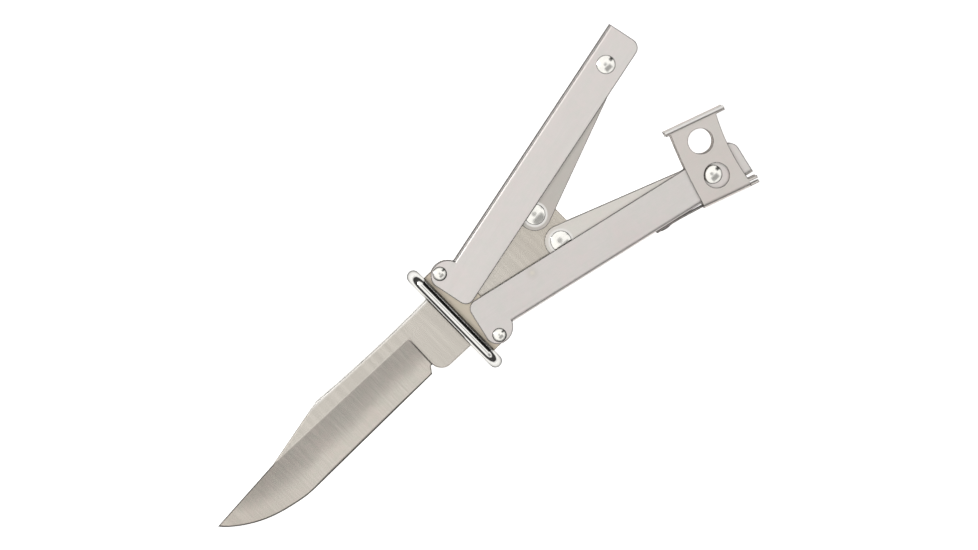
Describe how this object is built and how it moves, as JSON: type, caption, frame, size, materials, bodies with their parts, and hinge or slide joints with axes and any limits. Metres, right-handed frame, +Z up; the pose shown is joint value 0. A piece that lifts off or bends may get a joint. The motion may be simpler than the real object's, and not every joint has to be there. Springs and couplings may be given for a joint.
{
  "type": "rigging knife",
  "caption": "Steel knife with scissor-linked channel handles that draw the clip-point blade back through an oval guard, held shut by a swinging keeper clip.",
  "frame": {"origin": "under the middle of the knife's box, at the height of its lowest point, with the knife lying on its side", "axes": "+X along the knife from the blade's tip to the handles' free ends, +Y towards handle A and the blade's spine, +Z up through the knife's thickness"},
  "size_m": [0.1962, 0.0652, 0.016],
  "materials": {
    "blade_steel": "satin, ground across the bevel",
    "polished_guard": "mirror polished",
    "bracket_steel": "satin",
    "rivets": "polished",
    "handle_steel": "satin, brushed along its length",
    "link_steel": "satin",
    "washers": "plain",
    "spring_steel": "satin, brushed along its length"
  },
  "bodies": {
    "frame": {"guard": "polished_guard", "guard_bracket": "bracket_steel", "pivot_pin_a": "rivets", "pivot_pin_b": "rivets"},
    "handle_a": {"handle_a": "handle_steel", "end_rivet_a_front": "rivets", "end_rivet_a_back": "rivets", "spacer_washer_a_front": "washers", "spacer_washer_a_back": "washers"},
    "handle_b": {"handle_b": "handle_steel", "keeper_leaf": "spring_steel", "leaf_rivet": "rivets", "end_rivet_b_front": "rivets", "end_rivet_b_back": "rivets", "spacer_washer_b_front": "washers", "spacer_washer_b_back": "washers"},
    "blade": {"blade": "blade_steel", "tang_rivet_a": "rivets", "tang_rivet_b": "rivets"},
    "link_a": {"link_a_front": "link_steel", "link_a_back": "link_steel"},
    "link_b": {"link_b_front": "link_steel", "link_b_back": "link_steel"},
    "keeper": {"keeper_clip": "spring_steel"}
  },
  "joints": [
    {"name": "handle_a_spread", "type": "hinge", "parent": "frame", "child": "handle_a", "pos_m": [0.0023, 0.01464, 0.008], "axis": [0, 0, 1], "range_deg": [-12.3, 15.7]},
    {"name": "handle_b_spread", "type": "hinge", "parent": "frame", "child": "handle_b", "pos_m": [0.0023, -0.01096, 0.008], "axis": [0, 0, -1], "range_deg": [-12.3, 15.7]},
    {"name": "blade_slide", "type": "slide", "parent": "frame", "child": "blade", "axis": [1, 0, 0], "range_m": [-0.00456, 0.00582]},
    {"name": "link_a_turn", "type": "hinge", "parent": "blade", "child": "link_a", "pos_m": [0.03508, 0.00744, 0.008], "axis": [0, 0, 1], "range_deg": [-20.43, 26.07]},
    {"name": "link_b_turn", "type": "hinge", "parent": "blade", "child": "link_b", "pos_m": [0.03508, -0.00376, 0.008], "axis": [0, 0, -1], "range_deg": [-20.43, 26.07]},
    {"name": "keeper_swing", "type": "hinge", "parent": "handle_b", "child": "keeper", "pos_m": [0.07343, -0.02647, 0.008], "axis": [0, 0, 1], "range_deg": [0, 6.7], "stiffness_Nm_per_rad": 0.05}
  ],
  "couplings": [
    {"joint": "handle_b_spread", "follows": "handle_a_spread", "ratio": 1},
    {"joint": "blade_slide", "follows": "handle_a_spread", "m_per_rad": 0.021199},
    {"joint": "link_a_turn", "follows": "handle_a_spread", "ratio": 1.66},
    {"joint": "link_b_turn", "follows": "handle_a_spread", "ratio": 1.66}
  ]
}
